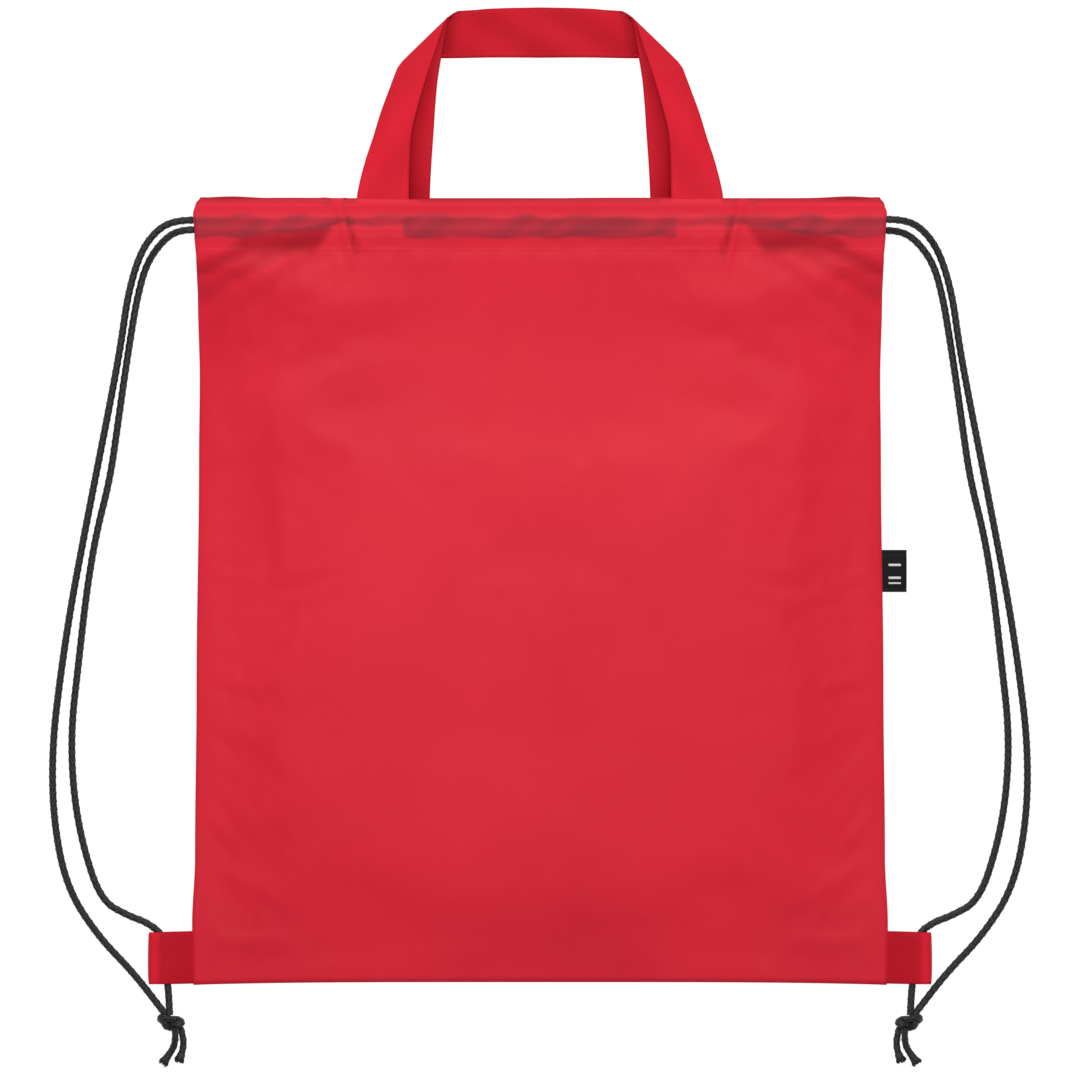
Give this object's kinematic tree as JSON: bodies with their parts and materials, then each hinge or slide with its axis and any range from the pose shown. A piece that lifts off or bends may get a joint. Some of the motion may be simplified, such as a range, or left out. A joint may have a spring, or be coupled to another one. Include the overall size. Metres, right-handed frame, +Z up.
{
  "type": "drawstring bag",
  "caption": "Flat drawstring backpack with two short carry handles, cord shoulder straps, corner tabs and a side label.",
  "frame": {"origin": "middle of the footprint of the bag without its cords, on the surface it lies on", "axes": "+X to the right, +Y from the bottom fold towards the handles, +Z up from the back panel to the front panel"},
  "size_m": [0.5126, 0.5535, 0.02],
  "materials": {
    "red_polyester": "thin plain weave with a soft sheen",
    "red_strap": "folded plain weave, edge stitched",
    "red_thread": "polyester sewing thread",
    "black_cord": "braided polyester",
    "black_satin": "woven satin"
  },
  "bodies": {
    "bag": {"back_panel": "red_polyester", "front_panel": "red_polyester", "back_hem": "red_polyester", "front_hem": "red_polyester", "left_seam_allowance": "red_polyester", "right_seam_allowance": "red_polyester", "front_handle_left_end": "red_strap", "front_handle_right_end": "red_strap", "back_handle_left_end": "red_strap", "back_handle_right_end": "red_strap", "left_cord_channel_run": "black_cord", "left_cord_outer_strand": "black_cord", "left_cord_inner_strand": "black_cord", "right_cord_channel_run": "black_cord", "right_cord_outer_strand": "black_cord", "right_cord_inner_strand": "black_cord", "back_hem_thread": "red_thread", "front_hem_thread": "red_thread"},
    "front_handle": {"front_handle": "red_strap"},
    "back_handle": {"back_handle": "red_strap"},
    "side_label": {"side_label": "black_satin"},
    "left_tab": {"left_corner_tab": "red_strap", "left_cord_tab_run": "black_cord", "left_knot": "black_cord", "left_long_tail": "black_cord", "left_short_tail": "black_cord"},
    "right_tab": {"right_corner_tab": "red_strap", "right_cord_tab_run": "black_cord", "right_knot": "black_cord", "right_long_tail": "black_cord", "right_short_tail": "black_cord"}
  },
  "joints": [
    {"name": "front_handle_fold", "type": "hinge", "parent": "bag", "child": "front_handle", "pos_m": [0, 0.1562, 0.015], "axis": [1, 0, 0], "range_deg": [0, 150]},
    {"name": "back_handle_fold", "type": "hinge", "parent": "bag", "child": "back_handle", "pos_m": [0, 0.1562, 0.015], "axis": [1, 0, 0], "range_deg": [0, 150]},
    {"name": "side_label_flop", "type": "hinge", "parent": "bag", "child": "side_label", "pos_m": [0.17865, -0.03885, 0.002], "axis": [0, -1, 0], "range_deg": [0, 120]},
    {"name": "left_tab_lift", "type": "hinge", "parent": "bag", "child": "left_tab", "pos_m": [-0.18, -0.24, 0.0022], "axis": [0, 1, 0], "range_deg": [0, 60]},
    {"name": "right_tab_lift", "type": "hinge", "parent": "bag", "child": "right_tab", "pos_m": [0.18, -0.24, 0.0022], "axis": [0, -1, 0], "range_deg": [0, 60]}
  ],
  "couplings": [
    {"joint": "back_handle_fold", "follows": "front_handle_fold", "ratio": 1}
  ]
}
